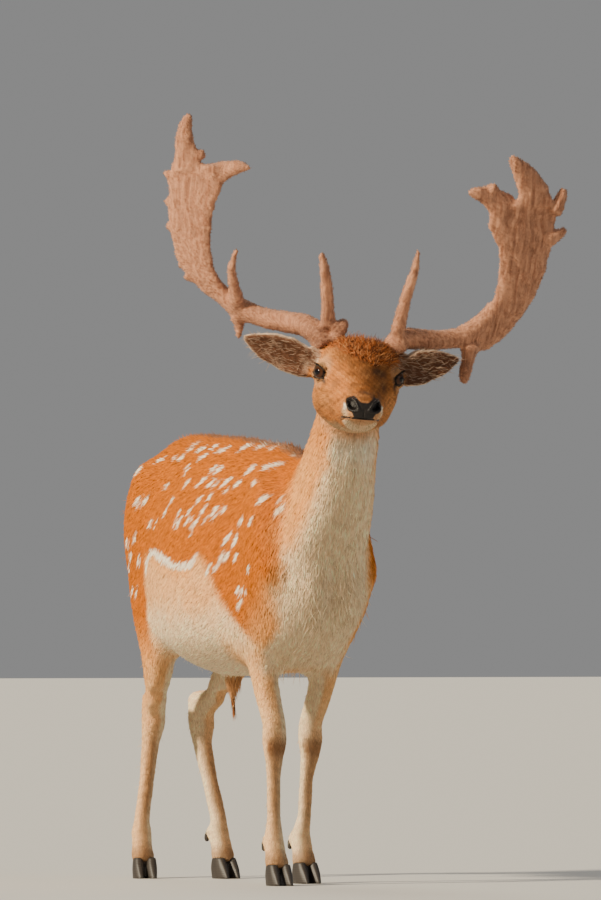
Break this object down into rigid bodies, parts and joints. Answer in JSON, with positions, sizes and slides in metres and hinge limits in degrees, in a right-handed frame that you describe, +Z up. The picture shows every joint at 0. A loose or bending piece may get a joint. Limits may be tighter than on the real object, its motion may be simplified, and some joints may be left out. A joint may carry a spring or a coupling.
{
  "type": "fallow deer",
  "caption": "Life-size fallow deer buck in spotted summer coat, palmate antlers in velvet, standing with its head turned to face the viewer.",
  "frame": {"origin": "on the ground, under the middle of the bounding box", "axes": "+Z up, the deer walks towards -Y, its left side is +X"},
  "size_m": [0.7236, 1.1904, 1.4352],
  "materials": {
    "coat": "short summer coat, rufous with white spots, cream below",
    "long_hair": "long coarse hair",
    "antler_velvet": "short velvet over growing bone",
    "nose_skin": "bare moist skin",
    "eye": "wet, glossy",
    "hoof_horn": "dark horn, satin"
  },
  "bodies": {
    "root": {"antler_left_beam": "antler_velvet", "antler_left_brow_tine": "antler_velvet", "antler_left_hanging_tine": "antler_velvet", "antler_left_palm": "antler_velvet", "antler_right_beam": "antler_velvet", "antler_right_brow_tine": "antler_velvet", "antler_right_hanging_tine": "antler_velvet", "antler_right_palm": "antler_velvet", "antler_right_trez_tine": "antler_velvet", "dewclaw_front_left_inner": "hoof_horn", "dewclaw_front_left_outer": "hoof_horn", "dewclaw_front_right_inner": "hoof_horn", "dewclaw_front_right_outer": "hoof_horn", "dewclaw_hind_left_inner": "hoof_horn", "dewclaw_hind_left_outer": "hoof_horn", "dewclaw_hind_right_inner": "hoof_horn", "dewclaw_hind_right_outer": "hoof_horn", "ear_left": "coat", "ear_right": "coat", "eye_left": "eye", "eye_right": "eye", "front_left_leg_lower": "coat", "front_left_leg_upper": "coat", "front_right_leg_lower": "coat", "front_right_leg_upper": "coat", "head": "coat", "hind_left_leg_lower": "coat", "hind_left_leg_upper": "coat", "hind_right_leg_lower": "coat", "hind_right_leg_upper": "coat", "hoof_front_left_inner": "hoof_horn", "hoof_front_left_outer": "hoof_horn", "hoof_front_right_inner": "hoof_horn", "hoof_front_right_outer": "hoof_horn", "hoof_hind_left_inner": "hoof_horn", "hoof_hind_left_outer": "hoof_horn", "hoof_hind_right_inner": "hoof_horn", "hoof_hind_right_outer": "hoof_horn", "neck": "coat", "nose_pad": "nose_skin", "sheath_tuft": "long_hair", "tail": "long_hair", "trunk": "coat"}
  },
  "joints": []
}
